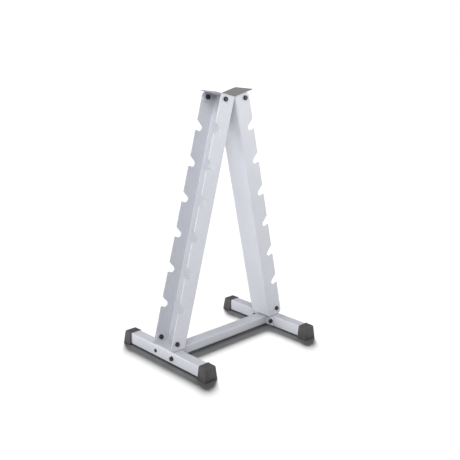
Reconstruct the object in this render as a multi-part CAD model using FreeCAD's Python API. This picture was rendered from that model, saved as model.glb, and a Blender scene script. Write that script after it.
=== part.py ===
# Two-sided dumbbell rack: two notched steel channels lean together over a pair of tubular feet.
# Frame: +Z up, X along the crossmember, Y along the feet, origin on the floor under the middle.
# All sizes are in millimetres.

import FreeCAD, Part
import math
import os

# Overall sizes
apex_height = 1087.0        # floor to the top corner where the two webs meet
foot_spacing = 616.0        # between the centre lines of the two feet
foot_length = 520.0         # steel tube of one foot, without its caps

# Foot tube
foot_width = 50.0
foot_height = 50.0
foot_wall = 2.0
foot_corner = 4.0

# Slip-over foot cap
cap_sole = 6.0              # between the tube and the floor
cap_wall = 3.0
cap_end_wall = 4.0
cap_cover = 39.0            # length of tube inside the cap
cap_flare = 6.0             # how far each side leans out from top to floor
cap_bevel = 4.0
cap_corner = 5.0
cap_rim_corner = 1.0
cap_fit = 0.2

# Crossmember and its welded end plates
cross_width = 56.0
cross_height = 38.0
cross_wall = 2.0
cross_corner = 4.0
plate_thickness = 4.0
plate_length = 136.0
plate_inset = 1.5           # its edges below the foot's top and above its underside
plate_corner = 8.0

# Upright: a folded channel, open to the outside
channel_width = 114.0
channel_depth = 80.0
sheet = 3.0
bend_radius = 3.0           # inside of the folds
web_gap = 1.0               # between the two webs where they meet
flange_clearance = 2.5      # lower edge of the channel above the foot
channel_corner = 18.0       # free corners of the flanges

# Handle notches, measured square to and along the free edge of a flange
notch_count = 6
notch_first = 147.0         # top edge to the centre of the first seat
notch_last = 181.0          # centre of the last seat to the lower edge
notch_depth = 34.0
seat_radius = 13.5
mouth_rise = 30.0           # upper end of the mouth above the seat's centre
lip_rise = 3.0              # lower end of the mouth above the bottom of the seat
mouth_round = 4.0

# Bolted joints between brackets and channels
bolt_edge = 27.0            # bolt to the free edge of the flange
top_bolt_drop = 17.5        # bolt below the top edge of the channel
lower_bolt_height = 33.0    # bolt above the foot
bracket_fit = 0.5           # between a bracket's ear and the flange beside it

# Foot bracket
bracket_sheet = 4.0
bracket_length = 44.0       # along the crossmember, at the ears
bracket_ear = 52.0          # height of an ear above the foot
bracket_corner = 14.0

# Top bracket
wing_length = 112.0
wing_sheet = 3.0
wing_corner = 6.0
wing_bend = 4.0
wing_ear_sheet = 4.0
wing_ear_width = 44.0
wing_ear_drop = 38.0
wing_ear_corner = 12.0

# Fasteners
bolt_size = 10.0
hole_clearance = 1.0
thread_clearance = 0.2
head_height = 6.4
head_flats = 17.0
nut_height = 8.0
washer_outer = 20.0
washer_thickness = 2.0
hex_chamfer = 1.2
bolt_tail = 4.0             # thread that stands past the nut
foot_bolt_offset = 53.5     # foot bolts from the middle of the foot

# Rear foot bolts are a smaller, button-headed size
button_size = 8.0
button_head = 14.0
button_height = 4.4
button_socket = 5.0
button_socket_depth = 2.5
button_nut_flats = 13.0
button_nut_height = 6.5
button_washer_outer = 16.0
button_washer_thickness = 1.6

# Levels and places that follow from the sizes above
foot_bottom = cap_sole
foot_top = foot_bottom + foot_height
foot_middle = foot_bottom + foot_height / 2
lower_bolt_z = foot_top + lower_bolt_height
bolt_from_web = channel_depth - bolt_edge
clear = 1.0                 # how far a cutting tool runs past the face it cuts

UP = FreeCAD.Vector(0, 0, 1)
ACROSS = FreeCAD.Vector(0, 1, 0)
ALONG = FreeCAD.Vector(1, 0, 0)
ORIGIN = FreeCAD.Vector(0, 0, 0)


def lean_angle():
    """Lean that puts the lower bolt over the foot and the web's top corner at the apex, in radians."""
    reach = foot_spacing / 2 - web_gap / 2
    rise = apex_height - lower_bolt_z
    return math.atan2(reach, rise) - math.asin(bolt_from_web / math.hypot(reach, rise))


lean = lean_angle()


# Outlines

def in_xy(level):
    return lambda p, q: FreeCAD.Vector(p, q, level)


def in_xz(level):
    return lambda p, q: FreeCAD.Vector(p, level, q)


def in_yz(level):
    return lambda p, q: FreeCAD.Vector(level, p, q)


def corner_arc(before, point, after, radius):
    """Start, middle and end of the arc that rounds one corner of an outline."""
    back = (before[0] - point[0], before[1] - point[1])
    ahead = (after[0] - point[0], after[1] - point[1])
    back_length = math.hypot(*back)
    ahead_length = math.hypot(*ahead)
    back = (back[0] / back_length, back[1] / back_length)
    ahead = (ahead[0] / ahead_length, ahead[1] / ahead_length)
    half = math.acos(back[0] * ahead[0] + back[1] * ahead[1]) / 2
    run = radius / math.tan(half)
    bisector = (back[0] + ahead[0], back[1] + ahead[1])
    size = math.hypot(*bisector)
    inward = radius / math.sin(half) - radius
    start = (point[0] + back[0] * run, point[1] + back[1] * run)
    middle = (point[0] + bisector[0] / size * inward, point[1] + bisector[1] / size * inward)
    end = (point[0] + ahead[0] * run, point[1] + ahead[1] * run)
    return start, middle, end


def outline(corners, place):
    """Closed face through (p, q, radius) corners, each rounded by its radius."""
    edges = []
    count = len(corners)
    arcs = []
    for i in range(count):
        p, q, radius = corners[i]
        if radius > 0:
            arcs.append(corner_arc(corners[i - 1], (p, q), corners[(i + 1) % count], radius))
        else:
            arcs.append(((p, q), None, (p, q)))
    for i in range(count):
        start, middle, end = arcs[i]
        following = arcs[(i + 1) % count][0]
        if middle is not None:
            edges.append(Part.Arc(place(*start), place(*middle), place(*end)).toShape())
        edges.append(Part.makeLine(place(*end), place(*following)))
    return Part.Face(Part.Wire(edges))


def rectangle(low_p, high_p, low_q, high_q, radius, place):
    corners = [(low_p, low_q, radius), (high_p, low_q, radius),
               (high_p, high_q, radius), (low_p, high_q, radius)]
    return outline(corners, place)


def tangent_slope(point, centre, radius, side):
    """Angle of the line from a point that touches a circle, on the side given as +1 or -1."""
    offset = (centre[0] - point[0], centre[1] - point[1])
    return math.atan2(offset[1], offset[0]) + side * math.asin(radius / math.hypot(*offset))


def crossing(first, first_angle, second, second_angle):
    """Point where two lines meet, each given by a point and an angle."""
    a = (math.cos(first_angle), math.sin(first_angle))
    b = (math.cos(second_angle), math.sin(second_angle))
    gap = (second[0] - first[0], second[1] - first[1])
    run = (gap[0] * b[1] - gap[1] * b[0]) / (a[0] * b[1] - a[1] * b[0])
    return (first[0] + a[0] * run, first[1] + a[1] * run)


# Placing

def lean_left(shape):
    """Takes a shape from the left channel's own frame to its place.

    In that frame the web's top corner is the origin, the channel hangs down Z and opens towards -X.
    """
    placed = shape.copy()
    placed.rotate(ORIGIN, ACROSS, math.degrees(lean))
    placed.translate(FreeCAD.Vector(-web_gap / 2, 0, apex_height))
    return placed


def to_right(shape):
    """Turns a left-hand piece half a turn about the rack's middle."""
    placed = shape.copy()
    placed.rotate(ORIGIN, UP, 180)
    return placed


def to_rear(shape):
    """Mirrors a front piece to the rear."""
    return shape.mirror(ORIGIN, ACROSS)


def rod(start, direction, length, diameter):
    return Part.makeCylinder(diameter / 2, length, start, direction)


# Feet

def foot_tube():
    """Square tube along Y, bored for the two bolts that hold the crossmember."""
    half = foot_width / 2
    outer = rectangle(-half, half, foot_bottom, foot_top, foot_corner, in_xz(-foot_length / 2))
    inner = rectangle(-half + foot_wall, half - foot_wall, foot_bottom + foot_wall,
                      foot_top - foot_wall, foot_corner - foot_wall, in_xz(-foot_length / 2))
    tube = outer.extrude(ACROSS * foot_length).cut(inner.extrude(ACROSS * foot_length))
    start = -half - clear
    for y, size in ((-foot_bolt_offset, bolt_size), (foot_bolt_offset, button_size)):
        mouth = FreeCAD.Vector(start, y, foot_middle)
        hole = rod(mouth, ALONG, foot_width + 2 * clear, size + hole_clearance)
        tube = tube.cut(hole)
    return tube


def cap_section(level, flare):
    """Outline of the cap at one level, wider by the flare on its three outer sides."""
    half = foot_width / 2 + cap_wall + flare
    rim = -foot_length / 2 + cap_cover
    end = -foot_length / 2 - cap_end_wall - flare
    corners = [(-half, end, cap_corner), (half, end, cap_corner),
               (half, rim, cap_rim_corner), (-half, rim, cap_rim_corner)]
    return outline(corners, in_xy(level)).OuterWire


def foot_cap():
    """Flared rubber sleeve with a bevelled top, over the front end of a foot."""
    top = foot_top + cap_wall
    sections = [cap_section(0, cap_flare), cap_section(top - cap_bevel, 0), cap_section(top, -cap_bevel)]
    body = Part.makeLoft(sections, True, True)
    pocket_width = foot_width + 2 * cap_fit
    pocket = Part.makeBox(pocket_width, cap_cover + cap_fit + clear, foot_height + cap_fit)
    pocket.translate(FreeCAD.Vector(-pocket_width / 2, -foot_length / 2 - cap_fit, foot_bottom))
    return body.cut(pocket)


# Crossmember

def inner_face_of_foot():
    return foot_spacing / 2 - foot_width / 2


def crossmember():
    """Flat rectangular tube between the two end plates."""
    end = inner_face_of_foot() - plate_thickness
    low = foot_middle - cross_height / 2
    high = foot_middle + cross_height / 2
    half = cross_width / 2
    outer = rectangle(-half, half, low, high, cross_corner, in_yz(-end))
    inner = rectangle(-half + cross_wall, half - cross_wall, low + cross_wall, high - cross_wall,
                      cross_corner - cross_wall, in_yz(-end))
    return outer.extrude(ALONG * 2 * end).cut(inner.extrude(ALONG * 2 * end))


def crossmember_plate():
    """Rounded plate at the left end of the crossmember, bolted flat against the foot."""
    face = -inner_face_of_foot()
    half = plate_length / 2
    low = foot_bottom + plate_inset
    high = foot_top - plate_inset
    plate = rectangle(-half, half, low, high, plate_corner, in_yz(face))
    plate = plate.extrude(ALONG * plate_thickness)
    for y, size in ((-foot_bolt_offset, bolt_size), (foot_bolt_offset, button_size)):
        start = FreeCAD.Vector(face - clear, y, foot_middle)
        plate = plate.cut(rod(start, ALONG, plate_thickness + 2 * clear, size + hole_clearance))
    return plate


# Foot brackets

def ear_face():
    """Outer face of every bracket's ear, just inside the flange."""
    return channel_width / 2 - sheet - bracket_fit


def web_inside(level):
    """World X of the left web's inner face at a level."""
    return -web_gap / 2 - (apex_height - level) * math.tan(lean) - sheet / math.cos(lean)


def foot_bracket():
    """U of plate on top of the left foot: a base that reaches the web, and an ear inside each flange."""
    middle = -foot_spacing / 2
    half = bracket_length / 2
    inner = web_inside(foot_top) - bracket_fit
    corner = bend_radius + bracket_fit
    plan = [(middle - half, -ear_face(), 0), (inner, -ear_face(), corner),
            (inner, ear_face(), corner), (middle - half, ear_face(), 0)]
    base = outline(plan, in_xy(foot_top)).extrude(UP * bracket_sheet)
    corners = [(middle - half, foot_top, 0), (middle + half, foot_top, 0),
               (middle + half, foot_top + bracket_ear, bracket_corner),
               (middle - half, foot_top + bracket_ear, bracket_corner)]
    ear = outline(corners, in_xz(-ear_face())).extrude(ACROSS * bracket_sheet)
    bracket = base.fuse([ear, to_rear(ear)]).removeSplitter()
    start = FreeCAD.Vector(middle, -channel_width, lower_bolt_z)
    return bracket.cut(rod(start, ACROSS, 2 * channel_width, bolt_size + hole_clearance))


# Uprights

def notch_pitch():
    """Distance between neighbouring seats, shared evenly along the channel."""
    return (-lower_edge(channel_depth) - notch_first - notch_last) / (notch_count - 1)


def notch_corners(seat_level):
    """Three corners of one notch: upper mouth, back of the seat and lip."""
    seat = (channel_depth - notch_depth + seat_radius, seat_level)
    upper = (channel_depth, seat_level + mouth_rise)
    lip = (channel_depth, seat_level - seat_radius + lip_rise)
    upper_angle = tangent_slope(upper, seat, seat_radius, -1)
    lip_angle = tangent_slope(lip, seat, seat_radius, 1)
    back = crossing(upper, upper_angle, lip, lip_angle)
    return [(*upper, mouth_round), (*back, seat_radius), (*lip, mouth_round)]


def lower_edge(depth):
    """Level in the channel's own frame where a horizontal cut above the foot meets a depth."""
    cut = foot_top + flange_clearance
    return (cut - apex_height - depth * math.sin(lean)) / math.cos(lean)


def side_of_channel():
    """Side view of the channel in its own frame: square top, notches, horizontal lower edge."""
    corners = [(-clear, 0, 0), (channel_depth, 0, channel_corner)]
    for i in range(notch_count):
        corners += notch_corners(-notch_first - i * notch_pitch())
    corners.append((channel_depth, lower_edge(channel_depth), channel_corner))
    corners.append((-clear, lower_edge(-clear), 0))
    mirrored = [(-depth, level, radius) for depth, level, radius in corners]
    face = outline(mirrored, in_xz(-channel_width))
    return face.extrude(ACROSS * 2 * channel_width)


def folded_section():
    """Plain folded channel in its own frame, longer and deeper than the finished one."""
    half = channel_width / 2
    low = lower_edge(channel_depth) - clear
    reach = channel_depth + clear
    fold = bend_radius + sheet
    outer = outline([(-reach, -half, 0), (0, -half, fold), (0, half, fold), (-reach, half, 0)], in_xy(low))
    inner = outline([(-reach - clear, -half + sheet, 0), (-sheet, -half + sheet, bend_radius),
                     (-sheet, half - sheet, bend_radius), (-reach - clear, half - sheet, 0)], in_xy(low))
    rise = UP * (clear - low)
    return outer.extrude(rise).cut(inner.extrude(rise))


def upright():
    """Left channel with six notches in each flange and a bolt hole near each end."""
    channel = lean_left(folded_section().common(side_of_channel()))
    for x, z in (top_bolt_place(), (-foot_spacing / 2, lower_bolt_z)):
        start = FreeCAD.Vector(x, -channel_width, z)
        channel = channel.cut(rod(start, ACROSS, 2 * channel_width, bolt_size + hole_clearance))
    return channel


# Top bracket

def top_bolt_place():
    """World X and Z of the left top bolt."""
    x = -web_gap / 2 - bolt_from_web * math.cos(lean) - top_bolt_drop * math.sin(lean)
    z = apex_height + bolt_from_web * math.sin(lean) - top_bolt_drop * math.cos(lean)
    return x, z


def wing_plate():
    """Gull-wing plate that lies on the top edges of both channels."""
    tip_x = web_gap / 2 + wing_length * math.cos(lean)
    tip_z = apex_height + wing_length * math.sin(lean)
    valley = apex_height - web_gap / 2 * math.tan(lean)
    over_x = wing_sheet * math.sin(lean)
    over_z = wing_sheet * math.cos(lean)
    corners = [(-tip_x, tip_z, 0), (0, valley, wing_bend + wing_sheet), (tip_x, tip_z, 0),
               (tip_x - over_x, tip_z + over_z, 0), (0, valley + wing_sheet / math.cos(lean), wing_bend),
               (-tip_x + over_x, tip_z + over_z, 0)]
    plate = outline(corners, in_xz(-ear_face())).extrude(ACROSS * 2 * ear_face())
    plan = rectangle(-tip_x, tip_x, -ear_face(), ear_face(), wing_corner, in_xy(0))
    return plate.common(plan.extrude(UP * 2 * apex_height))


def wing_ear():
    """Front ear of the left wing, inside the flange and centred on the bolt."""
    inner = bolt_from_web - wing_ear_width / 2
    outer = bolt_from_web + wing_ear_width / 2
    corners = [(-outer, wing_sheet / 2, 0), (-inner, wing_sheet / 2, 0),
               (-inner, -wing_ear_drop, wing_ear_corner), (-outer, -wing_ear_drop, wing_ear_corner)]
    ear = outline(corners, in_xz(-ear_face())).extrude(ACROSS * wing_ear_sheet)
    return lean_left(ear)


def top_bracket():
    """One folded piece: the plate and its four ears, drilled for the top bolts."""
    ear = wing_ear()
    ears = [ear, to_rear(ear), to_right(ear), to_right(to_rear(ear))]
    bracket = wing_plate().fuse(ears).removeSplitter()
    x, z = top_bolt_place()
    for side in (-1, 1):
        start = FreeCAD.Vector(side * abs(x), -channel_width, z)
        bracket = bracket.cut(rod(start, ACROSS, 2 * channel_width, bolt_size + hole_clearance))
    return bracket


# Fasteners: each is made pointing up from the face that it rests on

def turned(profile):
    """Solid of revolution about Z from (radius, height) corners."""
    corners = [(radius, height, 0) for radius, height in profile]
    return outline(corners, in_xz(0)).revolve(ORIGIN, UP, 360)


def hexagon(flats, height, chamfer_both):
    """Hexagonal prism on Z = 0 with its corners chamfered on the outer face, or on both."""
    corner = flats / 2 / math.cos(math.radians(30))
    points = [(corner * math.cos(math.radians(60 * i)), corner * math.sin(math.radians(60 * i)), 0)
              for i in range(6)]
    prism = outline(points, in_xy(0)).extrude(UP * height)
    waist = hex_chamfer * math.tan(math.radians(30))
    base = [(0, 0), (corner, 0)]
    if chamfer_both:
        base = [(0, 0), (corner - hex_chamfer, 0), (corner, waist)]
    crown = [(corner, height - waist), (corner - hex_chamfer, height), (0, height)]
    return prism.common(turned(base + crown))


def hex_bolt(grip):
    """Bolt with its head above Z = 0 and its shank down to the grip below."""
    shank = rod(FreeCAD.Vector(0, 0, -grip), UP, grip, bolt_size)
    return hexagon(head_flats, head_height, False).fuse(shank).removeSplitter()


def button_bolt(grip):
    """Button-headed bolt: a domed head with a hexagonal socket."""
    dome_radius = (button_head ** 2 / 4 + button_height ** 2) / (2 * button_height)
    ball = Part.makeSphere(dome_radius, FreeCAD.Vector(0, 0, button_height - dome_radius))
    head = rod(ORIGIN, UP, button_height, button_head).common(ball)
    socket = hexagon(button_socket, 2 * button_socket_depth, False)
    socket.translate(UP * (button_height - button_socket_depth))
    shank = rod(FreeCAD.Vector(0, 0, -grip), UP, grip, button_size)
    return head.cut(socket).fuse(shank).removeSplitter()


def nut(flats, height, size):
    bore = rod(FreeCAD.Vector(0, 0, -clear), UP, height + 2 * clear, size + thread_clearance)
    return hexagon(flats, height, True).cut(bore)


def washer(outer, thickness, size):
    disc = rod(ORIGIN, UP, thickness, outer)
    return disc.cut(rod(FreeCAD.Vector(0, 0, -clear), UP, thickness + 2 * clear, size + hole_clearance / 2))


def point_at(shape, place, direction):
    """Turns a piece made along +Z to point along a direction, then moves it to its place."""
    placed = shape.copy()
    placed.Placement = FreeCAD.Placement(place, FreeCAD.Rotation(UP, direction))
    return placed


def flange_joint(x, z, side, ear_sheet):
    """Bolt, washers and nut through one flange and one ear; side is -1 at the front, +1 at the rear."""
    outward = ACROSS * side
    face = FreeCAD.Vector(x, side * channel_width / 2, z)
    inner_face = FreeCAD.Vector(x, side * (ear_face() - ear_sheet), z)
    grip = sheet + bracket_fit + ear_sheet + 2 * washer_thickness + nut_height + bolt_tail
    ring = washer(washer_outer, washer_thickness, bolt_size)
    bolt = point_at(hex_bolt(grip), face + outward * washer_thickness, outward)
    washers = [point_at(ring, face, outward), point_at(ring, inner_face, -outward)]
    nut_place = inner_face - outward * washer_thickness
    return bolt, washers, point_at(nut(head_flats, nut_height, bolt_size), nut_place, -outward)


def flange_joints(x, z, ear_sheet):
    """All four joints of one kind, at plus and minus X, front and rear."""
    bolts = []
    washers = []
    nuts = []
    for end in (-1, 1):
        for side in (-1, 1):
            bolt, pair, one_nut = flange_joint(end * abs(x), z, side, ear_sheet)
            bolts.append(bolt)
            washers += pair
            nuts.append(one_nut)
    return bolts, washers, nuts


def foot_joint(y, make_bolt, flats, height, size, outer, thickness):
    """Bolt from the outside of the left foot through the tube and the crossmember's plate."""
    face = FreeCAD.Vector(-foot_spacing / 2 - foot_width / 2, y, foot_middle)
    plate_face = FreeCAD.Vector(-inner_face_of_foot() + plate_thickness, y, foot_middle)
    grip = foot_width + plate_thickness + 2 * thickness + height + bolt_tail
    ring = washer(outer, thickness, size)
    bolt = point_at(make_bolt(grip), face - ALONG * thickness, -ALONG)
    washers = [point_at(ring, face, -ALONG), point_at(ring, plate_face, ALONG)]
    one_nut = point_at(nut(flats, height, size), plate_face + ALONG * thickness, ALONG)
    return bolt, washers, one_nut


def mirrored_right(shape):
    return shape.mirror(ORIGIN, ALONG)


def both_feet(joint):
    """The same joint on both feet."""
    bolt, washers, one_nut = joint
    return ([bolt, mirrored_right(bolt)], washers + [mirrored_right(ring) for ring in washers],
            [one_nut, mirrored_right(one_nut)])


# Assembly

def export(name, shapes):
    """Writes one node; a list of shapes is a group of separate solids."""
    shape = Part.makeCompound(shapes) if isinstance(shapes, list) else shapes
    for solid in shape.Solids:
        if not solid.isValid():
            raise ValueError("bad solid in " + name)
    if not shape.Solids:
        raise ValueError("nothing in " + name)
    shape.exportStep(os.path.join("parts", name + ".step"))
    box = shape.BoundBox
    print("%-28s %2d solid(s)  x %7.1f %7.1f  y %7.1f %7.1f  z %7.1f %7.1f" % (
        name, len(shape.Solids), box.XMin, box.XMax, box.YMin, box.YMax, box.ZMin, box.ZMax))


def moved_x(shape, distance):
    moved = shape.copy()
    moved.translate(ALONG * distance)
    return moved


def export_feet():
    tube = foot_tube()
    cap = foot_cap()
    for side, x in (("left", -foot_spacing / 2), ("right", foot_spacing / 2)):
        export(side + "_foot_tube", moved_x(tube, x))
        export("front_" + side + "_foot_cap", moved_x(cap, x))
        export("rear_" + side + "_foot_cap", moved_x(to_rear(cap), x))


def export_frame():
    export("crossmember_tube", crossmember())
    for name, shape in (("foot_bracket", foot_bracket()), ("upright", upright())):
        export("left_" + name, shape)
        export("right_" + name, to_right(shape))
    plate = crossmember_plate()
    export("left_crossmember_plate", plate)
    export("right_crossmember_plate", mirrored_right(plate))
    export("top_bracket", top_bracket())


def export_group(kind, joint):
    for name, shapes in zip(("bolts", "washers", "nuts"), joint):
        export(kind + "_" + name, shapes)


def export_fasteners():
    export_group("top", flange_joints(*top_bolt_place(), wing_ear_sheet))
    export_group("lower", flange_joints(-foot_spacing / 2, lower_bolt_z, bracket_sheet))
    front = foot_joint(-foot_bolt_offset, hex_bolt, head_flats, nut_height, bolt_size,
                       washer_outer, washer_thickness)
    rear = foot_joint(foot_bolt_offset, button_bolt, button_nut_flats, button_nut_height, button_size,
                      button_washer_outer, button_washer_thickness)
    export_group("front_foot", both_feet(front))
    export_group("rear_foot", both_feet(rear))


os.makedirs("parts", exist_ok=True)
export_feet()
export_frame()
export_fasteners()
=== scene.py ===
import math

import bpy
import numpy as np
from bpy.props import FloatProperty, FloatVectorProperty, PointerProperty
from mathutils import Matrix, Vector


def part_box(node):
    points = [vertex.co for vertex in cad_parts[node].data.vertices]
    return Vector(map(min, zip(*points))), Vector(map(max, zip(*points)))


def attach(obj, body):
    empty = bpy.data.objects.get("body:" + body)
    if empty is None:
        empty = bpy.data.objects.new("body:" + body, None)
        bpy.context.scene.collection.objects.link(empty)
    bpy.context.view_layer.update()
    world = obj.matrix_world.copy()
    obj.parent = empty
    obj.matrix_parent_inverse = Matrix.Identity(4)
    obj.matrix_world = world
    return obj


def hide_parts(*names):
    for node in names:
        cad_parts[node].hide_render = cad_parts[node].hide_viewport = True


bl_info = {
    "name": "Dumbbell rack",
    "version": (1, 0, 0),
    "blender": (4, 5, 0),
    "location": "3D View > Sidebar > Rack",
    "description": ("Finishes, rubber caps, threaded bolts, weld beads and a studio "
                    "for a two-sided dumbbell rack"),
    "category": "Object",
}

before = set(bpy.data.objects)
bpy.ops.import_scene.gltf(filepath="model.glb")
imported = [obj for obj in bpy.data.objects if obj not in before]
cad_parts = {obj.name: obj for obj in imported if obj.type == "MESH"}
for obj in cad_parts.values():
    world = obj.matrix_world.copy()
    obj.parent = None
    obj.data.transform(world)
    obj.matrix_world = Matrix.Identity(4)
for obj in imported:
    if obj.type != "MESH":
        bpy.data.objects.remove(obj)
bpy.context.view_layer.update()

PAINTED_NODES = {
    "foot_paint": ("left_foot_tube", "right_foot_tube"),
    "crossmember_paint": ("crossmember_tube", "left_crossmember_plate", "right_crossmember_plate"),
    "bracket_paint": ("left_foot_bracket", "right_foot_bracket"),
    "upright_paint": ("left_upright", "right_upright"),
}
FASTENER_GROUPS = ("top", "lower", "front_foot", "rear_foot")

# Patterns of the finishes, in features a metre
CLOUD = 7.0
HANDLING = 24.0
# Patches in the painted shade on the top bracket's upward faces
SHADE_PATCHES = 30.0
BLOOM = 38.0
WORN_PATCHES = 55.0
MOTTLE = 90.0
OILY_FILM = 120.0
SCUFFS = 160.0
CHIPS = 420.0
ORANGE_PEEL = 520.0
FLAKE = 900.0
GRAIN = 900.0
TURNING_MARKS = 1500.0

# Edges of the finishes: radii in metres, and the cosines between which an edge shows more and more
PAINT_EDGE = 0.0006
RUBBER_EDGE = 0.0008
STEEL_EDGE = 0.00025
SCUFFED_EDGE = 0.0016
BRIGHT_EDGE = 0.0005
FLAT_COSINE = 0.995
EDGE_COSINE = 0.85
BEVEL_SAMPLES = 6
BRIGHT_STEEL = (0.32, 0.31, 0.3, 1.0)
MARK_DEPTH = 0.00002

# Rubber caps, in metres
SOLE_ROUND = 0.0015
CROWN_ROUND = 0.002
ARC_STEPS = 5
LIP_ROWS = (                # share of the lip's height, place past the rim
    (0.3, 0.0),
    (0.8, 0.0004),
    (1.0, 0.0012),
    (1.0, 0.005),
)
LIP_LENGTH = 0.0062

# Bolts, in metres or as shares
ROUND_STEPS = 48
TIP_BAND = 0.0005
WASHER_FACE = 0.0004
CROWN_SHARE = 0.94
CROWN_SLOPE = math.radians(30)
FACE_SHARE = 0.95
THREAD_DEPTH = 0.6
TIP_CHAMFER = 0.8
SOCKET_SHARE = 0.625
SOCKET_EDGE = 0.0002

# Weld beads: shares of the leg, lengths in metres, and seeds
BEAD_SIDES = 14
SLOW_WAVES = (0.004, 0.009, 0.017)
RIPPLE_STEPS = 6
TUBE_CORNER = 0.004
BRACKET_END = 0.006
CROSSMEMBER_BEAD = 0.7
BRACKET_BEAD = 0.55
BRACKET_SEED = 10
BEAD_SHARP = 80

# Stage
BASE_WORDS = ("foot_tube", "rubber_cap", "foot_threaded_bolts", "foot_washers", "foot_nuts",
              "crossmember")
FLOOR_REACH = 60.0
RACK_MIDDLE = (0.0, 0.0, 0.55)
PANEL_DISTANCE = 4.0
PANEL_SIZE = 2.0
PANELS = (                  # name, degrees round from +X, degrees up
    ("front", 225, 37),
    ("left", 185, 12),
    ("rear_left", 135, 12),
    ("right", 320, 12),
    ("rear", 60, 45),
    ("far_right", 0, 12),
)


# Reading the frame

def vertices_of(node):
    """All vertices of a CAD node, as an (n, 3) array."""
    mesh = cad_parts[node].data
    points = np.empty(len(mesh.vertices) * 3)
    mesh.vertices.foreach_get("co", points)
    return points.reshape(-1, 3)


def span(values):
    """Middle and half width of a set of values."""
    return (values.max() + values.min()) / 2, (values.max() - values.min()) / 2


# Meshes

def signed_volume(points, triangles):
    """Volume inside a closed mesh: the sum of a.(b x c) / 6 over its triangles."""
    a, b, c = (points[triangles[:, i]] for i in range(3))
    return np.einsum("ij,ij->i", a, np.cross(b, c)).sum() / 6


def ring_faces(rows, columns, closed):
    """Quads between neighbouring rings of a grid.

    Every ring closes on itself, and the last row joins the first where the grid is closed.
    """
    r = np.arange(rows if closed else rows - 1)[:, None]
    c = np.arange(columns)[None, :]
    below = (r + 1) % rows
    beside = (c + 1) % columns
    corners = [r * columns + c, r * columns + beside,
               below * columns + beside, below * columns + c]
    return np.stack(corners, -1).reshape(-1, 4)


def fan_faces(pole, ring, columns, flip):
    """Triangles from one pole to one ring."""
    c = np.arange(columns)
    pair = [ring + c, ring + (c + 1) % columns]
    if flip:
        pair.reverse()
    return np.stack([np.full(columns, pole), *pair], -1)


def skin(grid, poles=None):
    """Closed skin over a (rows, columns, 3) grid: two poles close its ends, or the rows join up."""
    rows, columns = grid.shape[:2]
    points = grid.reshape(-1, 3)
    quads = ring_faces(rows, columns, poles is None)
    fans = np.empty((0, 3), int)
    if poles is not None:
        count = len(points)
        points = np.vstack([points, poles])
        fans = np.vstack([fan_faces(count, 0, columns, True),
                          fan_faces(count + 1, (rows - 1) * columns, columns, False)])
    triangles = np.vstack([quads[:, [0, 1, 2]], quads[:, [0, 2, 3]], fans])
    if signed_volume(points, triangles) < 0:
        quads = quads[:, ::-1]
        fans = fans[:, ::-1]
    return points, quads, fans


def make_piece(name, skins, material, sharp_degrees=35.0):
    """One object from several closed skins, smooth but for its sharp edges, riding on the root."""
    vertices, faces, offset = [], [], 0
    for points, quads, fans in skins:
        vertices.append(points)
        faces += (quads + offset).tolist() + (fans + offset).tolist()
        offset += len(points)
    mesh = bpy.data.meshes.new(name)
    mesh.from_pydata(np.vstack(vertices).tolist(), [], faces)
    mesh.polygons.foreach_set("use_smooth", np.ones(len(mesh.polygons), bool))
    mesh.set_sharp_from_angle(angle=math.radians(sharp_degrees))
    mesh.materials.append(material)
    if mesh.validate():
        raise RuntimeError(name + " has faces that are not valid")
    piece = bpy.data.objects.new(name, mesh)
    bpy.context.scene.collection.objects.link(piece)
    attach(piece, "root")
    return piece


def rounded_outline(corners, radii, steps):
    """Convex polygon with round corners, as (corners * (steps + 1), 2) points.

    Each corner gives an arc whose centre lies on the corner's bisector, at its radius over the
    sine of half the angle. Points between the arc's ends are weighted by the sines of their
    shares of its turn.
    """
    corners = np.asarray(corners, float)
    radii = np.asarray(radii, float)[:, None]
    back = np.roll(corners, 1, 0) - corners
    ahead = np.roll(corners, -1, 0) - corners
    back /= np.linalg.norm(back, axis=1, keepdims=True)
    ahead /= np.linalg.norm(ahead, axis=1, keepdims=True)
    half = np.arccos(np.clip((back * ahead).sum(1, keepdims=True), -1, 1)) / 2
    bisector = back + ahead
    bisector /= np.linalg.norm(bisector, axis=1, keepdims=True)
    centre = corners + bisector * radii / np.sin(half)
    start = corners + back * radii / np.tan(half) - centre
    end = corners + ahead * radii / np.tan(half) - centre
    turn = np.pi - 2 * half
    share = np.linspace(0, 1, steps + 1)[None, :, None]
    turn = turn[:, None]
    arc = (np.sin((1 - share) * turn) * start[:, None]
           + np.sin(share * turn) * end[:, None]) / np.sin(turn)
    return (centre[:, None] + arc).reshape(-1, 2)


# Node helpers for materials

def add_node(tree, kind, **values):
    """New node with some of its own settings."""
    node = tree.nodes.new(kind)
    for name, value in values.items():
        setattr(node, name, value)
    return node


def set_input(tree, node, name, value):
    """Links a socket, or sets a plain value."""
    if isinstance(value, bpy.types.NodeSocket):
        tree.links.new(value, node.inputs[name])
    else:
        node.inputs[name].default_value = value


def noise(tree, place, scale, detail=2.0, roughness=0.5):
    """Noise on object coordinates; the scale is in features a metre."""
    node = add_node(tree, "ShaderNodeTexNoise")
    set_input(tree, node, "Vector", place)
    set_input(tree, node, "Scale", scale)
    set_input(tree, node, "Detail", detail)
    set_input(tree, node, "Roughness", roughness)
    return node.outputs["Fac"]


def cells(tree, place, scale):
    """Distance to the nearest of many scattered points; the scale is in points a metre."""
    node = add_node(tree, "ShaderNodeTexVoronoi")
    set_input(tree, node, "Vector", place)
    set_input(tree, node, "Scale", scale)
    return node.outputs["Distance"]


def remap(tree, value, low, high, to_low, to_high):
    """A value carried from one range to another, and held at the ends."""
    node = add_node(tree, "ShaderNodeMapRange")
    for name, number in (("Value", value), ("From Min", low), ("From Max", high),
                         ("To Min", to_low), ("To Max", to_high)):
        set_input(tree, node, name, number)
    return node.outputs["Result"]


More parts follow.
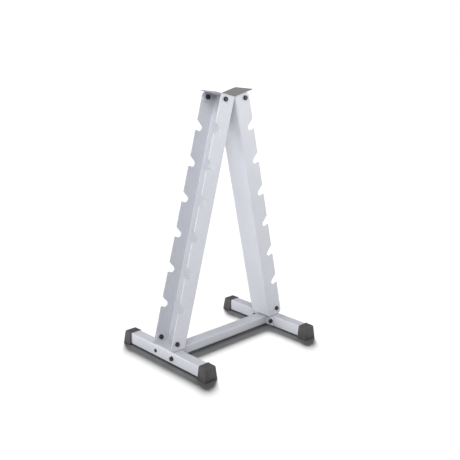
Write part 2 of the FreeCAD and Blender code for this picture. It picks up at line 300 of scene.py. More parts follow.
def combine(tree, operation, first, second):
    """Sum or product of two values, by the name of the operation."""
    node = add_node(tree, "ShaderNodeMath", operation=operation)
    set_input(tree, node, 0, first)
    set_input(tree, node, 1, second)
    return node.outputs[0]


def blend_colours(tree, share, first, second):
    """Colour between two, by the share of the second."""
    node = add_node(tree, "ShaderNodeMix", data_type="RGBA")
    set_input(tree, node, 0, share)
    set_input(tree, node, 6, first)
    set_input(tree, node, 7, second)
    return node.outputs[2]


def shade(colour, factor):
    """A colour made lighter or darker, with full alpha."""
    return (*(min(1.0, channel * factor) for channel in colour), 1.0)


def edge_mask(tree, width):
    """1 along edges, 0 on flats: how far a bevelled normal turns away from the surface's own."""
    bevel = add_node(tree, "ShaderNodeBevel", samples=BEVEL_SAMPLES)
    set_input(tree, bevel, "Radius", width)
    geometry = add_node(tree, "ShaderNodeNewGeometry")
    dot = add_node(tree, "ShaderNodeVectorMath", operation="DOT_PRODUCT")
    set_input(tree, dot, 0, bevel.outputs["Normal"])
    set_input(tree, dot, 1, geometry.outputs["Normal"])
    return remap(tree, dot.outputs["Value"], FLAT_COSINE, EDGE_COSINE, 0.0, 1.0)


def relief(tree, height, depth, normal):
    """Bump of a given depth in metres on top of a normal."""
    bump = add_node(tree, "ShaderNodeBump")
    set_input(tree, bump, "Strength", 1.0)
    set_input(tree, bump, "Distance", depth)
    set_input(tree, bump, "Height", height)
    set_input(tree, bump, "Normal", normal)
    return bump.outputs["Normal"]


def soft_edges(tree, radius):
    """Normal that rounds sharp edges by a radius."""
    bevel = add_node(tree, "ShaderNodeBevel", samples=BEVEL_SAMPLES)
    set_input(tree, bevel, "Radius", radius)
    return bevel.outputs["Normal"]


def new_material(name):
    """Empty material with its node tree, shader and object coordinates."""
    material = bpy.data.materials.new(name)
    material.use_nodes = True
    tree = material.node_tree
    shader = tree.nodes["Principled BSDF"]
    place = add_node(tree, "ShaderNodeTexCoord").outputs["Object"]
    return material, tree, shader, place


# Finishes

def powder_coat(name, colour, wear, settings):
    """Satin powder coat: cloudy, mottled colour, fine flake, orange peel, and thin edges."""
    material, tree, shader, place = new_material(name)
    cloud = remap(tree, noise(tree, place, CLOUD, 3.0), 0.3, 0.7, 0.0, 0.4)
    mottle = remap(tree, noise(tree, place, MOTTLE, 3.0, 0.6), 0.35, 0.65, 0.0, 0.4)
    flake = remap(tree, noise(tree, place, FLAKE, 1.0), 0.3, 0.7, 0.0, 0.2)
    mixed = combine(tree, "ADD", combine(tree, "ADD", cloud, mottle), flake)
    base = blend_colours(tree, mixed, shade(colour, 0.94), shade(colour, 1.05))
    patchy = remap(tree, noise(tree, place, WORN_PATCHES, 4.0, 0.6), 0.45, 0.65, 0.2, 1.0)
    edges = combine(tree, "MULTIPLY", edge_mask(tree, settings.wear_width), patchy)
    worn = combine(tree, "MULTIPLY", edges, wear)
    set_input(tree, shader, "Base Color", blend_colours(tree, worn, base, shade(colour, 1.25)))
    handled = noise(tree, place, HANDLING, 4.0, 0.6)
    set_input(tree, shader, "Roughness",
              remap(tree, handled, 0.3, 0.7, settings.roughness - 0.05, settings.roughness + 0.07))
    peel = noise(tree, place, ORANGE_PEEL, 2.0, 0.4)
    set_input(tree, shader, "Normal",
              relief(tree, peel, settings.peel_depth, soft_edges(tree, PAINT_EDGE)))
    shader.inputs["Coat Weight"].default_value = 0.12
    shader.inputs["Coat Roughness"].default_value = 0.22
    return material


def coat_with_painted_top_shade(name, colour, upper, settings):
    """Powder coat below, and painted shade on whatever faces up: a darker, patchy colour that
    stands for their dark reflection.
    """
    material = powder_coat(name, colour, settings.wear, settings)
    tree = material.node_tree
    shader = tree.nodes["Principled BSDF"]
    place = tree.nodes["Texture Coordinate"].outputs["Object"]
    geometry = add_node(tree, "ShaderNodeNewGeometry")
    parts = add_node(tree, "ShaderNodeSeparateXYZ")
    set_input(tree, parts, "Vector", geometry.outputs["True Normal"])
    # Painted shade: faces that point up blend to the dark top colour, whatever light falls on them
    facing_up = remap(tree, parts.outputs["Z"], 0.6, 0.8, 0.0, 1.0)
    # Random patches within the painted shade, which also set the roughness
    wear_and_shade_patches = remap(tree, noise(tree, place, SHADE_PATCHES, 5.0, 0.65), 0.35, 0.65, 0.0, 1.0)
    dark = blend_colours(tree, wear_and_shade_patches, shade(upper, 0.88), shade(upper, 1.1))
    below = shader.inputs["Base Color"].links[0].from_socket
    set_input(tree, shader, "Base Color", blend_colours(tree, facing_up, below, dark))
    set_input(tree, shader, "Roughness", remap(tree, wear_and_shade_patches, 0.0, 1.0, 0.58, 0.7))
    shader.inputs["Specular IOR Level"].default_value = 0.2
    shader.inputs["Coat Weight"].default_value = 0.0
    return material


def moulded_rubber(name, colour, settings):
    """Matt moulded rubber: fine leathery grain, faint bloom, and edges scuffed lighter."""
    material, tree, shader, place = new_material(name)
    bloom = noise(tree, place, BLOOM, 4.0, 0.6)
    base = blend_colours(tree, remap(tree, bloom, 0.35, 0.7, 0.0, 1.0),
                         shade(colour, 0.8), shade(colour, 1.3))
    scuffs = remap(tree, noise(tree, place, SCUFFS, 3.0, 0.7), 0.4, 0.65, 0.1, 0.8)
    edges = combine(tree, "MULTIPLY", edge_mask(tree, SCUFFED_EDGE), scuffs)
    set_input(tree, shader, "Base Color", blend_colours(tree, edges, base, shade(colour, 2.2)))
    set_input(tree, shader, "Roughness", remap(tree, bloom, 0.3, 0.7, 0.52, 0.68))
    grain = cells(tree, place, GRAIN)
    set_input(tree, shader, "Normal",
              relief(tree, grain, settings.grain_depth, soft_edges(tree, RUBBER_EDGE)))
    shader.inputs["Specular IOR Level"].default_value = 0.4
    return material


def black_oxide(name, colour, settings):
    """Blackened steel: an oily film that varies, fine turning marks, and bright corners."""
    material, tree, shader, place = new_material(name)
    film = noise(tree, place, OILY_FILM, 4.0, 0.6)
    base = blend_colours(tree, remap(tree, film, 0.3, 0.7, 0.0, 1.0),
                         shade(colour, 0.7), shade(colour, 1.5))
    chipped = remap(tree, noise(tree, place, CHIPS, 3.0, 0.7), 0.48, 0.62, 0.0, 1.0)
    edges = combine(tree, "MULTIPLY", edge_mask(tree, BRIGHT_EDGE), chipped)
    wear_and_shade_patches = combine(tree, "MULTIPLY", edges, settings.rubbing)
    set_input(tree, shader, "Base Color", blend_colours(tree, wear_and_shade_patches, base, BRIGHT_STEEL))
    set_input(tree, shader, "Roughness", remap(tree, film, 0.3, 0.7, 0.36, 0.52))
    marks = noise(tree, place, TURNING_MARKS, 2.0)
    set_input(tree, shader, "Normal", relief(tree, marks, MARK_DEPTH, soft_edges(tree, STEEL_EDGE)))
    shader.inputs["Metallic"].default_value = 0.5
    return material


def finish_node(node, material):
    """Puts a material on a CAD node."""
    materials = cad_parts[node].data.materials
    materials.clear()
    materials.append(material)


# Rubber caps

def cap_section(top, sole, reach, shoulder, flare, spread):
    """Cross section of a cap on (x, z): wide sole, leaning sides and bevelled shoulders.

    The reach is half the width at the shoulders; the spread moves the whole outline outwards.
    """
    foot = reach + flare + spread
    side = reach + spread
    crown = top + spread
    neck = crown - shoulder
    corners = [(-foot, sole), (foot, sole), (side, neck), (side - shoulder, crown),
               (shoulder - side, crown), (-side, neck)]
    return rounded_outline(corners, (SOLE_ROUND,) * 2 + (CROWN_ROUND,) * 4, ARC_STEPS)


def cap_skin(node, tube, settings):
    """Sleeve round a foot's end: sections in XZ carried along Y, from the pocket to the end.

    The end leans out towards the floor as the sides do: its y is the box's end at the floor, less
    the flare times the share of the height. A quarter turn of the corner radius closes each
    section onto it. Nothing goes past the sides of the cap's own box or below its sole.
    """
    low, high = (np.array(corner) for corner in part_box(node))
    tube_low, tube_high = (np.array(corner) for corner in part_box(tube))
    middle, half = span(np.array([tube_low[0], tube_high[0]]))
    outward = -1.0 if high[1] < 0 else 1.0
    rim = min(abs(low[1]), abs(high[1]))
    end = max(abs(low[1]), abs(high[1]))
    reach = half + settings.wall
    flare = high[0] - middle - reach
    top = high[2]
    shoulder = settings.shoulder
    outer = cap_section(top, 0.0, reach, shoulder, flare, 0.0)
    lip = cap_section(top, 0.0, reach, shoulder, flare, settings.lip)
    pocket = cap_section(tube_high[2], tube_low[2], half, shoulder, 0.0, 0.0)

    def front(level):
        lean = flare * np.clip(level / (top - shoulder), 0, 1)
        bevel = np.clip(level - (top - shoulder), 0, shoulder)
        return end - lean - bevel

    rows = [(pocket, np.full(len(pocket), tube_high[1])), (pocket, np.full(len(pocket), rim))]
    for share, back in LIP_ROWS:
        rows.append((outer + (lip - outer) * share, np.full(len(outer), rim + back)))
    turn = settings.corner
    start = rim + LIP_LENGTH
    for share in np.linspace(0.02, 1, 6):
        rows.append((outer, start + (front(outer[:, 1]) - turn - start) * share))
    centre = np.array([0.0, top / 2])
    for angle in np.linspace(0, math.pi / 2, 7)[1:]:
        inset = turn * (1 - math.cos(angle)) / reach
        section = centre + (outer - centre) * (1 - inset)
        rows.append((section, front(section[:, 1]) - turn * (1 - math.sin(angle))))
    last = rows[-1][0]
    for share in (0.8, 0.6, 0.4, 0.2):
        section = centre + (last - centre) * share
        rows.append((section, front(section[:, 1])))
    grid = np.stack([np.column_stack([np.clip(section[:, 0] + middle, low[0], high[0]), outward * y,
                                      np.maximum(section[:, 1], 0)]) for section, y in rows])
    pocket_middle = (tube_low[2] + tube_high[2]) / 2
    poles = np.array([[middle, outward * tube_high[1], pocket_middle],
                      [middle, outward * front(centre[1]), centre[1]]])
    return skin(grid, poles)


# Bolts

def hexagon_radius(angle, flats):
    """Polar radius of a hexagon: half the flats over the cosine of the angle from a flat."""
    sixth = math.pi / 3
    return flats / 2 / np.cos(np.mod(angle, sixth) - sixth / 2)


def thread_radius(angle, depth_below, size, pitch):
    """Radius of a right-hand thread: a sharp wave with flat crests and roots.

    Its phase is the depth over the pitch plus the angle over a whole turn.
    """
    phase = np.mod(depth_below / pitch + angle / (2 * math.pi), 1.0)
    wave = np.clip(np.abs(phase - 0.5) * 2.4 - 0.1, 0, 1)
    return size / 2 - THREAD_DEPTH * pitch * (1 - wave)


def shank_rows(angle, size, grip, thread_length, pitch):
    """Rings from under the head to the tip: plain shank, thread, and a chamfered end."""
    plain = grip - thread_length
    rings = [(np.full_like(angle, size / 2), 0.0), (np.full_like(angle, size / 2), -plain)]
    for below in np.arange(pitch / 8, thread_length, pitch / 8):
        fade = min(1.0, below / pitch)
        radius = thread_radius(angle, below, size, pitch)
        radius = size / 2 + (radius - size / 2) * fade
        to_tip = thread_length - below
        limit = size / 2 - max(0.0, pitch * TIP_CHAMFER - to_tip)
        rings.append((np.minimum(radius, limit), -(plain + below)))
    rings.append((np.full_like(angle, size / 2 - pitch * TIP_CHAMFER), -grip))
    return rings


def hex_bolt_skin(flats, height, size, grip, settings):
    """Hex bolt along Z with its seat at Z = 0: rings from the crown, over the head, to the tip.

    The crown's cone meets each side of the hexagon where its radius equals the hexagon's, which
    gives the curved edges of a turned head.
    """
    angle = np.linspace(0, 2 * math.pi, ROUND_STEPS, endpoint=False)
    hexagon = hexagon_radius(angle, flats)
    crown = flats / 2 * CROWN_SHARE
    cone = height - (hexagon - crown) * math.tan(CROWN_SLOPE)
    face = np.full_like(angle, flats / 2 * FACE_SHARE)
    rings = [(np.full_like(angle, crown * 0.5), np.full_like(angle, height)),
             (np.full_like(angle, crown), np.full_like(angle, height)),
             (hexagon, cone), (hexagon, np.full_like(angle, WASHER_FACE)),
             (face, np.full_like(angle, WASHER_FACE)), (face, np.zeros_like(angle))]
    pitch = size * settings.pitch_ratio
    shank = shank_rows(angle, size, grip, settings.thread_length, pitch)
    return bolt_grid(angle, rings, shank, height, grip)


def button_bolt_skin(head, height, size, grip, settings):
    """Button bolt along Z with its seat at Z = 0: socket floor, socket walls, dome, shank and tip.

    The dome is part of a ball through the head's rim and its top.
    """
    angle = np.linspace(0, 2 * math.pi, ROUND_STEPS, endpoint=False)
    ball = (head ** 2 / 4 + height ** 2) / (2 * height)
    socket = hexagon_radius(angle, size * SOCKET_SHARE)
    floor = height - settings.socket_depth

    def dome(radius):
        return height - ball + np.sqrt(ball ** 2 - radius ** 2)

    rings = [(socket * 0.5, np.full_like(angle, floor)), (socket, np.full_like(angle, floor)),
             (socket, dome(socket) - SOCKET_EDGE),
             (socket + SOCKET_EDGE, dome(socket + SOCKET_EDGE))]
    start = size * SOCKET_SHARE / 2 / math.cos(math.pi / 6) + 2 * SOCKET_EDGE
    for radius in np.linspace(start, head / 2 * 0.995, 7):
        ring = np.full_like(angle, radius)
        rings.append((ring, dome(ring)))
    rings.append((np.full_like(angle, head / 2 * 0.97), np.zeros_like(angle)))
    pitch = size * settings.pitch_ratio
    shank = shank_rows(angle, size, grip, settings.thread_length, pitch)
    return bolt_grid(angle, rings, shank, floor, grip)


def bolt_grid(angle, head_rings, shank, top, grip):
    """Stacks rings of radius and height into a grid, with a pole at the top and one at the tip."""
    rings = head_rings + [(radius, np.full_like(angle, level)) for radius, level in shank]
    grid = np.stack([np.column_stack([radius * np.cos(angle), radius * np.sin(angle), level])
                     for radius, level in rings])
    return skin(grid, np.array([[0.0, 0.0, top], [0.0, 0.0, -grip]]))


def place_skin(made, seat, outward, corner):
    """Turns a skin made along +Z: Z follows the outward axis, and X a corner of its hexagon."""
    points, quads, fans = made
    outward = np.asarray(outward, float)
    corner = np.asarray(corner, float)
    axes = np.stack([corner, np.cross(outward, corner), outward])
    return points @ axes + np.asarray(seat), quads, fans


def bolts_of(group):
    """Seats, axes and sizes of a group's bolts, read from its washers and bolts.

    The bolts of the flanges lie along Y and those of the feet along X; their washers give the
    centres.
    """
    axis = 0 if group.endswith("foot") else 1
    washers = vertices_of(group + "_washers")
    bolts = vertices_of(group + "_bolts")
    seat = np.abs(washers[:, axis]).max()
    tail = np.abs(bolts[:, axis]).min()
    level, washer_radius = span(washers[:, 2])
    tip = bolts[np.abs(bolts[:, axis]) < tail + TIP_BAND]
    sizes = {
        "height": np.abs(bolts[:, axis]).max() - seat,
        "grip": seat - tail,
        "size": span(tip[:, 2])[1] * 2,
    }
    places = []
    if axis == 1:
        across = np.abs(washers[:, 0]).max() - washer_radius
        sizes["head"] = span(bolts[:, 2])[1] * 2
        for side in (-1, 1):
            for end in (-1, 1):
                places.append(((end * across, side * seat, level), (0, side, 0), (1, 0, 0)))
    else:
        across = span(washers[:, 1])[0]
        sizes["head"] = span(bolts[:, 1])[1] * 2
        for side in (-1, 1):
            places.append(((side * seat, across, level), (side, 0, 0), (0, 0, 1)))
    return places, sizes


# Weld beads

def bead_skin(path, closed, radius, settings, seed):
    """Weld bead along a path: a round section whose radius swells with each overlapping ripple.

    radius * (1 + a |sin(pi s / ripple + lag cos(phi))| + b wave(s)), with s the length along the
    path, phi the angle round the section, and wave the mean of three slow, seeded sines.
    """
    path = np.asarray(path, float)
    ahead = np.roll(path, -1, 0) - path
    if not closed:
        ahead[-1] = ahead[-2]
    step = np.linalg.norm(ahead, axis=1)
    along = np.concatenate([[0.0], np.cumsum(step)[:-1]])
    tangent = ahead / step[:, None]
    tangent = tangent + np.roll(tangent, 1, 0) if closed else tangent
    tangent /= np.linalg.norm(tangent, axis=1, keepdims=True)
    off_x = np.abs(tangent[:, 0]).max() < 0.9
    reference = np.array([1.0, 0.0, 0.0]) if off_x else np.array([0.0, 0.0, 1.0])
    side = np.cross(tangent, reference)
    side /= np.linalg.norm(side, axis=1, keepdims=True)
    other = np.cross(tangent, side)
    phi = np.linspace(0, 2 * math.pi, BEAD_SIDES, endpoint=False)[None, :]
    draw = np.random.default_rng(seed).uniform(0, 2 * math.pi, 3)
    wave = sum(np.sin(along / length + start) for length, start in zip(SLOW_WAVES, draw)) / 3
    ripple = np.abs(np.sin(math.pi * along[:, None] / settings.ripple + 0.7 * np.cos(phi)))
    size = radius * (1 + 0.14 * ripple + 0.07 * wave[:, None])
    if not closed:
        taper = np.minimum(along, along[-1] - along) / radius
        size = size * np.sqrt(np.clip(taper, 0.05, 1))[:, None]
    grid = path[:, None] + size[..., None] * (np.cos(phi)[..., None] * side[:, None]
                                              + np.sin(phi)[..., None] * other[:, None])
    return skin(grid, None if closed else path[[0, -1]])


def even_points(corners, closed, spacing):
    """Points at an even spacing along straight runs between corners."""
    corners = np.asarray(corners, float)
    loop = np.vstack([corners, corners[:1]]) if closed else corners
    length = np.concatenate([[0.0], np.cumsum(np.linalg.norm(np.diff(loop, axis=0), axis=1))])
    count = int(length[-1] / spacing)
    at = np.linspace(0, length[-1], count, endpoint=not closed)
    return np.stack([np.interp(at, length, loop[:, i]) for i in range(loop.shape[1])], -1)


def crossmember_welds(settings):
    """A bead round each end of the crossmember, where it meets its plate."""
    low, high = (np.array(corner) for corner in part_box("crossmember_tube"))
    corners = [(low[1], low[2]), (high[1], low[2]), (high[1], high[2]), (low[1], high[2])]
    outline = even_points(rounded_outline(corners, [TUBE_CORNER] * 4, 8), True,
                          settings.ripple / RIPPLE_STEPS)
    skins = []
    for number, x in enumerate((low[0], high[0])):
        inward = -math.copysign(settings.leg * 0.2, x)
        path = np.column_stack([np.full(len(outline), x + inward), outline])
        skins.append(bead_skin(path, True, settings.leg * CROSSMEMBER_BEAD, settings, number))
    return skins


def foot_bracket_welds(settings):
    """A bead along the outer edge of each bracket's base, on top of its foot."""
    skins = []
    for number, side in enumerate((-1, 1)):
        low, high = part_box(("left" if side < 0 else "right") + "_foot_bracket")
        x = (low[0] if side < 0 else high[0]) + side * settings.leg * 0.05
        run = [(x, low[1] + BRACKET_END, low[2] + settings.leg * 0.2),
               (x, high[1] - BRACKET_END, low[2] + settings.leg * 0.2)]
        path = even_points(run, False, settings.ripple / RIPPLE_STEPS)
        skins.append(bead_skin(path, False, settings.leg * BRACKET_BEAD, settings,
                               BRACKET_SEED + number))
    return skins


# Stage

def make_floor(settings):
    """Plain level floor under the soles."""
    material = bpy.data.materials.new("studio_floor")
    material.use_nodes = True
    shader = material.node_tree.nodes["Principled BSDF"]
    shader.inputs["Base Color"].default_value = shade(settings.floor_colour, 1.0)
    shader.inputs["Roughness"].default_value = 0.9
    shader.inputs["Specular IOR Level"].default_value = 0.1
    corners = np.array([[-1, -1], [1, -1], [1, 1], [-1, 1]]) * FLOOR_REACH
    mesh = bpy.data.meshes.new("studio_floor")
    mesh.from_pydata(np.column_stack([corners, np.zeros(4)]).tolist(), [], [[0, 1, 2, 3]])
    mesh.materials.append(material)
    floor = bpy.data.objects.new("studio_floor", mesh)
    bpy.context.scene.collection.objects.link(floor)
    return floor


def make_world(scene, settings):
    """White all round for the eye, and a dimmer white as light."""
    world = bpy.data.worlds.new("studio_world")
    world.use_nodes = True
    tree = world.node_tree
    light = tree.nodes["Background"]
    light.inputs["Color"].default_value = (0.96, 0.98, 1.0, 1.0)
    light.inputs["Strength"].default_value = settings.sky
    seen = add_node(tree, "ShaderNodeBackground")
    seen.inputs["Color"].default_value = (1.0, 1.0, 1.0, 1.0)
    path = add_node(tree, "ShaderNodeLightPath")
    mix = add_node(tree, "ShaderNodeMixShader")
    tree.links.new(path.outputs["Is Camera Ray"], mix.inputs[0])
    tree.links.new(light.outputs[0], mix.inputs[1])
    tree.links.new(seen.outputs[0], mix.inputs[2])
    tree.links.new(mix.outputs[0], tree.nodes["World Output"].inputs["Surface"])
    scene.world = world


def add_light(scene, name, kind, place, aim, lit, **values):
    """A light at a place, pointed at another, that falls only on what a collection says."""
    data = bpy.data.lights.new(name, kind)
    for key, value in values.items():
        setattr(data, key, value)
    light = bpy.data.objects.new(name, data)
    scene.collection.objects.link(light)
    light.location = place
    towards = np.subtract(aim, place)
    flat = math.hypot(towards[0], towards[1])
    light.rotation_euler = (math.atan2(flat, -towards[2]), 0,
                            math.atan2(towards[1], towards[0]) - math.pi / 2)
    light.light_linking.receiver_collection = lit
    return light


def add_panel(scene, name, turn, rise, energy, lit):
    """A square soft panel, degrees round from +X and degrees up, that faces the rack's middle."""
    flat = PANEL_DISTANCE * math.cos(math.radians(rise))
    place = (RACK_MIDDLE[0] + flat * math.cos(math.radians(turn)),
             RACK_MIDDLE[1] + flat * math.sin(math.radians(turn)),
             RACK_MIDDLE[2] + PANEL_DISTANCE * math.sin(math.radians(rise)))
    add_light(scene, name, "AREA", place, RACK_MIDDLE, lit,
              energy=energy, shape="RECTANGLE", size=PANEL_SIZE, size_y=PANEL_SIZE)


def link_group(name, things, state):
    """Collection of things to be lit or to cast shadows alone, or to be left out of a light."""
    group = bpy.data.collections.new(name)
    for thing in things:
        group.objects.link(thing)
    for member in group.collection_objects:
        member.light_linking.link_state = state
    return group


def make_lights(scene, floor, settings):
    """Soft panels round the rack, and two broad lights that fall on the floor alone.

    The stronger one comes from behind on the right, and only the rack's base stands in its way.
    """
    on_floor = link_group("lit_floor", [floor], "INCLUDE")
    on_rack = link_group("lit_rack", [floor], "EXCLUDE")
    base = [thing for thing in scene.objects
            if thing.type == "MESH" and any(word in thing.name for word in BASE_WORDS)]
    shadow_light = add_light(scene, "floor_light", "SUN", (1.1, 1.3, 1.0), (0, 0, 0), on_floor,
                             energy=settings.floor_light, angle=math.radians(25))
    shadow_light.light_linking.blocker_collection = link_group("floor_shadow", base, "INCLUDE")
    add_light(scene, "floor_fill", "SUN", (-0.4, -0.4, 1.0), (0, 0, 0), on_floor,
              energy=settings.floor_fill, angle=math.radians(90))
    for name, turn, rise in PANELS:
        add_panel(scene, name + "_panel", turn, rise, getattr(settings, name), on_rack)


def make_camera(scene, settings):
    """Camera at its place, turned to its heading, tilted, and rolled about its own axis."""
    data = bpy.data.cameras.new("studio_camera")
    data.lens = settings.lens
    data.sensor_width = 36.0
    camera = bpy.data.objects.new("studio_camera", data)
    scene.collection.objects.link(camera)
    camera.matrix_world = (Matrix.Translation(settings.camera_place)
                           @ Matrix.Rotation(-settings.heading, 4, "Z")
                           @ Matrix.Rotation(math.pi / 2 + settings.tilt, 4, "X")
                           @ Matrix.Rotation(settings.roll, 4, "Z"))
    scene.camera = camera


# Settings

class PaintSettings(bpy.types.PropertyGroup):
    colour: FloatVectorProperty(
        name="Paint", description="Powder coat of the frame", subtype="COLOR", size=3,
        min=0, max=1, default=(0.465, 0.473, 0.515))
    # Painted shade on the top bracket's upward faces: a dark colour standing for their dark
    # reflection
    painted_top_shade_colour: FloatVectorProperty(
        name="Top plate", description="Rubbed finish on top of the bracket",
        subtype="COLOR", size=3,
        min=0, max=1, default=(0.185, 0.185, 0.182))
    roughness: FloatProperty(
        name="Roughness", description="Mean roughness of the coat", default=0.42, min=0.1, max=0.9)
    peel_depth: FloatProperty(
        name="Orange peel", description="Depth of the coat's fine waves",
        default=0.00005, min=0, unit="LENGTH")
    wear: FloatProperty(
        name="Edge wear", description="How much the coat thins along edges",
        default=0.5, min=0, max=1)
    wear_width: FloatProperty(
        name="Wear width", description="Width of the worn edges",
        default=0.0012, min=0, unit="LENGTH")


class CapSettings(bpy.types.PropertyGroup):
    colour: FloatVectorProperty(
        name="Rubber", description="Colour of the foot caps", subtype="COLOR", size=3,
        min=0, max=1, default=(0.05, 0.045, 0.048))
    wall: FloatProperty(
        name="Wall", description="Rubber beside the tube at the shoulder",
        default=0.003, unit="LENGTH")
    shoulder: FloatProperty(
        name="Shoulder", description="Bevel along the top edges", default=0.004, unit="LENGTH")
    corner: FloatProperty(
        name="End corner", description="Radius round the closed end", default=0.005, unit="LENGTH")
    lip: FloatProperty(
        name="Lip", description="Height of the band round the open rim",
        default=0.0006, unit="LENGTH")
    grain_depth: FloatProperty(
        name="Grain", description="Depth of the moulded grain",
        default=0.00006, min=0, unit="LENGTH")


class BoltSettings(bpy.types.PropertyGroup):
    colour: FloatVectorProperty(
        name="Black oxide", description="Colour of bolts, nuts and washers",
        subtype="COLOR", size=3,
        min=0, max=1, default=(0.028, 0.027, 0.03))
    rubbing: FloatProperty(
        name="Rubbed corners", description="How much bright steel shows at corners",
        default=0.35, min=0, max=1)
    pitch_ratio: FloatProperty(
        name="Pitch", description="Thread pitch over the shank's diameter",
        default=0.15, min=0.08, max=0.3)
    thread_length: FloatProperty(
        name="Thread", description="Length of thread from the tip",
        default=0.017, min=0.005, unit="LENGTH")
    socket_depth: FloatProperty(
        name="Socket", description="Depth of the button heads' sockets",
        default=0.0025, unit="LENGTH")


class WeldSettings(bpy.types.PropertyGroup):
    leg: FloatProperty(
        name="Leg", description="Size of a weld bead",
        default=0.0032, min=0.001, max=0.008, unit="LENGTH")
    ripple: FloatProperty(
        name="Ripple", description="Length of one ripple along a bead",
        default=0.0022, min=0.0005, unit="LENGTH")


class StageSettings(bpy.types.PropertyGroup):
    floor_colour: FloatVectorProperty(
        name="Floor", description="Colour of the studio floor", subtype="COLOR", size=3,
        min=0, max=1, default=(0.5, 0.5, 0.5))
    camera_place: FloatVectorProperty(
        name="Camera", description="Place of the camera",
        subtype="TRANSLATION", size=3, unit="LENGTH",
        default=(-2.106, -2.155, 1.345))
    heading: FloatProperty(
        name="Heading", description="From +Y towards +X",
        default=math.radians(44.93), unit="ROTATION")
    tilt: FloatProperty(
        name="Tilt", description="Above the horizon", default=math.radians(-15.40), unit="ROTATION")
    roll: FloatProperty(
        name="Roll", description="Turn about the view's axis",
        default=math.radians(1.31), unit="ROTATION")
    lens: FloatProperty(
        name="Lens", description="Focal length on a sensor 36 mm wide", default=56.38, min=10)
    sky: FloatProperty(
        name="Sky", description="Light from all round", default=0.03, min=0)
    floor_light: FloatProperty(
        name="Floor light", description="Broad light on the floor, from behind",
        default=11.8, min=0)
    floor_fill: FloatProperty(
        name="Floor fill", description="Faint light in the floor's shadows", default=0.45, min=0)
    front: FloatProperty(
        name="Front panel", description="High panel over the camera, in watts",
        default=146.0, min=0)
    left: FloatProperty(
        name="Left panel", description="Low panel on the left, in watts", default=47.0, min=0)
    rear_left: FloatProperty(
        name="Rear left panel", description="Low panel behind on the left, in watts",
        default=94.0, min=0)
    right: FloatProperty(
        name="Right panel", description="Low panel on the right, in watts", default=54.0, min=0)
    rear: FloatProperty(
        name="Rear panel", description="High panel behind on the right, in watts",
        default=44.0, min=0)
    far_right: FloatProperty(
        name="Far right panel", description="Low panel straight out from the right foot, in watts",
        default=75.0, min=0)


# Operators

class RACK_OT_paint_frame(bpy.types.Operator):
    """Gives tubes, plates, brackets and uprights their powder coat"""
    bl_idname = "rack.paint_frame"
    bl_label = "Paint the frame"

    def execute(self, context):
        settings = context.scene.rack_paint
        for slot, nodes in PAINTED_NODES.items():
            material = powder_coat(slot, settings.colour, settings.wear, settings)
            for node in nodes:
                finish_node(node, material)
        # The top bracket's coat is painted darker on its upward faces: painted shade
        bracket = coat_with_painted_top_shade("top_bracket_paint", settings.colour, settings.painted_top_shade_colour,
                                settings)
        finish_node("top_bracket", bracket)
        return {"FINISHED"}


class RACK_OT_weld_beads(bpy.types.Operator):
    """Lays painted weld beads at the crossmember's ends and along the foot brackets"""
    bl_idname = "rack.weld_beads"
    bl_label = "Lay the weld beads"

    def execute(self, context):
        settings = context.scene.rack_welds
        paint = context.scene.rack_paint
        darker = [0.92 * value for value in paint.colour]
        material = powder_coat("weld_paint", darker, 0.0, paint)
        make_piece("crossmember_weld_beads", crossmember_welds(settings), material,
                   BEAD_SHARP)
        make_piece("foot_bracket_weld_beads", foot_bracket_welds(settings), material,
                   BEAD_SHARP)
        return {"FINISHED"}


class RACK_OT_rubber_caps(bpy.types.Operator):
    """Moulds the four rubber caps over the ends of the feet"""
    bl_idname = "rack.rubber_caps"
    bl_label = "Mould the foot caps"

    def execute(self, context):
        settings = context.scene.rack_caps
        material = moulded_rubber("cap_rubber", settings.colour, settings)
        for side in ("left", "right"):
            for end in ("front", "rear"):
                node = end + "_" + side + "_foot_cap"
                made = cap_skin(node, side + "_foot_tube", settings)
                piece = make_piece(end + "_" + side + "_rubber_cap", [made], material)
                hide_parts(node)
        return {"FINISHED"}


class RACK_OT_bolts(bpy.types.Operator):
    """Turns the threaded hex bolts and the rear button bolts"""
    bl_idname = "rack.bolts"
    bl_label = "Turn the bolts"

    def execute(self, context):
        settings = context.scene.rack_bolts
        material = black_oxide("bolt_black", settings.colour, settings)
        for group in FASTENER_GROUPS:
            places, sizes = bolts_of(group)
            make = button_bolt_skin if group == "rear_foot" else hex_bolt_skin
            made = make(sizes["head"], sizes["height"], sizes["size"], sizes["grip"], settings)
            skins = [place_skin(made, *place) for place in places]
            piece = make_piece(group + "_threaded_bolts", skins, material, 28)
            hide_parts(group + "_bolts")
        return {"FINISHED"}


class RACK_OT_nuts_and_washers(bpy.types.Operator):
    """Gives nuts and washers their black oxide"""
    bl_idname = "rack.nuts_and_washers"
    bl_label = "Blacken nuts and washers"

    def execute(self, context):
        settings = context.scene.rack_bolts
        for kind in ("nut", "washer"):
            material = black_oxide(kind + "_black", settings.colour, settings)
            for group in FASTENER_GROUPS:
                finish_node(group + "_" + kind + "s", material)
        return {"FINISHED"}


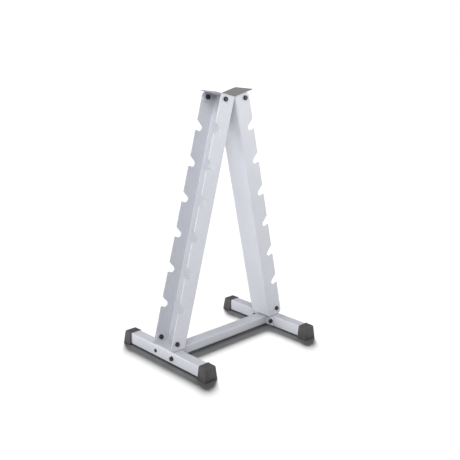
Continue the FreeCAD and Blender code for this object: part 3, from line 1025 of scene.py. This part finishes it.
class RACK_OT_stage(bpy.types.Operator):
    """Sets up the pale floor, the soft lights and the camera"""
    bl_idname = "rack.stage"
    bl_label = "Set up the studio"

    def execute(self, context):
        settings = context.scene.rack_stage
        floor = make_floor(settings)
        make_world(context.scene, settings)
        make_lights(context.scene, floor, settings)
        make_camera(context.scene, settings)
        context.scene.view_settings.view_transform = "Standard"
        return {"FINISHED"}


class RACK_PT_panel(bpy.types.Panel):
    """Lists the steps and their settings"""
    bl_idname = "RACK_PT_panel"
    bl_label = "Dumbbell rack"
    bl_space_type = "VIEW_3D"
    bl_region_type = "UI"
    bl_category = "Rack"

    def draw(self, context):
        for operator, group in STEPS:
            box = self.layout.box()
            box.operator(operator.bl_idname)
            settings = getattr(context.scene, group)
            for name in settings.bl_rna.properties.keys():
                if name not in ("rna_type", "name"):
                    box.prop(settings, name)


SETTINGS = {
    "rack_paint": PaintSettings,
    "rack_caps": CapSettings,
    "rack_bolts": BoltSettings,
    "rack_welds": WeldSettings,
    "rack_stage": StageSettings,
}
STEPS = (
    (RACK_OT_paint_frame, "rack_paint"),
    (RACK_OT_weld_beads, "rack_welds"),
    (RACK_OT_rubber_caps, "rack_caps"),
    (RACK_OT_bolts, "rack_bolts"),
    (RACK_OT_nuts_and_washers, "rack_bolts"),
    (RACK_OT_stage, "rack_stage"),
)


def register():
    for group in SETTINGS.values():
        bpy.utils.register_class(group)
    for operator, _ in STEPS:
        bpy.utils.register_class(operator)
    bpy.utils.register_class(RACK_PT_panel)
    for name, group in SETTINGS.items():
        setattr(bpy.types.Scene, name, PointerProperty(type=group))


def unregister():
    for name in SETTINGS:
        delattr(bpy.types.Scene, name)
    bpy.utils.unregister_class(RACK_PT_panel)
    for operator, _ in reversed(STEPS):
        bpy.utils.unregister_class(operator)
    for group in reversed(SETTINGS.values()):
        bpy.utils.unregister_class(group)


def main():
    register()
    bpy.ops.rack.paint_frame()
    bpy.ops.rack.weld_beads()
    bpy.ops.rack.rubber_caps()
    bpy.ops.rack.bolts()
    bpy.ops.rack.nuts_and_washers()
    bpy.ops.rack.stage()


if __name__ == "__main__":
    main()
